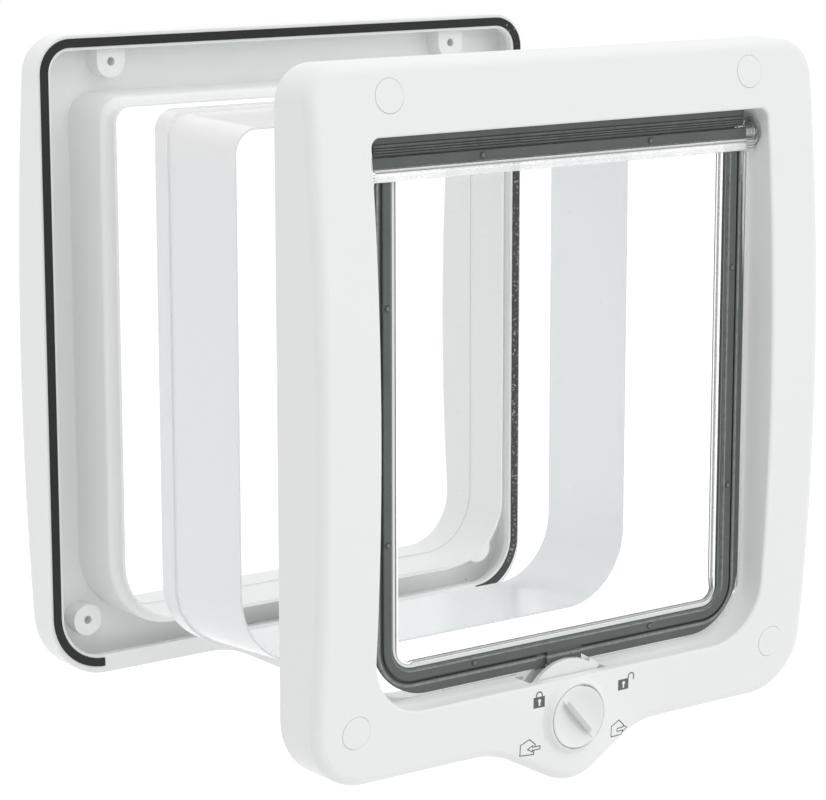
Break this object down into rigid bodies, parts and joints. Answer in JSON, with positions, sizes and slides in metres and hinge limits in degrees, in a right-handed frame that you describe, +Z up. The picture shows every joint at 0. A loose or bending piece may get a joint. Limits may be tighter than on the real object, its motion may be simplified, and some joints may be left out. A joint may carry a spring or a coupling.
{
  "type": "chicken coop door",
  "caption": "White framed pop door with a clear swinging flap, grey edge seals, rotary lock dial, push-fit tunnel and matching outer frame with a black foam gasket.",
  "frame": {"origin": "centre of the screw pattern: half way between the left and right caps and between the upper and lower caps, in the plane of the upper caps on the room side", "axes": "+X to the right seen from the room, +Y through the wall to the outside, +Z up"},
  "size_m": [0.394, 0.3505, 0.4513],
  "materials": {
    "white_plastic": "satin moulded",
    "tunnel_plastic": "thin glossy moulded",
    "knob_plastic": "satin moulded",
    "cam_plastic": "plain moulded",
    "clear_plastic": "clear polished",
    "grey_seal": "soft matte",
    "foam": "closed-cell foam",
    "zinc_steel": "zinc plated"
  },
  "bodies": {
    "inner_frame": {"inner_frame": "white_plastic", "screw_cap_top_left": "white_plastic", "screw_cap_top_right": "white_plastic", "screw_cap_bottom_left": "white_plastic", "screw_cap_bottom_right": "white_plastic", "fixing_screw_top_left": "zinc_steel", "fixing_screw_top_right": "zinc_steel", "fixing_screw_bottom_left": "zinc_steel", "fixing_screw_bottom_right": "zinc_steel", "header_seal": "grey_seal", "hinge_pin_left": "zinc_steel", "hinge_pin_right": "zinc_steel", "lock_cover": "cam_plastic", "cover_screw_left": "zinc_steel", "cover_screw_right": "zinc_steel"},
    "flap": {"flap_pane": "clear_plastic", "flap_top_seal": "grey_seal", "flap_edge_seal": "grey_seal"},
    "lock": {"lock_knob": "knob_plastic", "lock_cam": "cam_plastic", "cam_screw": "zinc_steel"},
    "tunnel": {"tunnel": "tunnel_plastic"},
    "outer_frame": {"outer_frame": "white_plastic", "door_gasket": "foam"}
  },
  "joints": [
    {"name": "flap_swing", "type": "hinge", "parent": "inner_frame", "child": "flap", "pos_m": [0, 0.0122, 0.1453], "axis": [1, 0, 0], "range_deg": [-80, 80]},
    {"name": "lock_turn", "type": "hinge", "parent": "inner_frame", "child": "lock", "pos_m": [0, 0, -0.206], "axis": [0, -1, 0], "range_deg": [0, 300]},
    {"name": "tunnel_push", "type": "slide", "parent": "inner_frame", "child": "tunnel", "axis": [0, -1, 0], "range_m": [0, 0.1085]},
    {"name": "outer_frame_push", "type": "slide", "parent": "tunnel", "child": "outer_frame", "axis": [0, -1, 0], "range_m": [0, 0.058]}
  ]
}
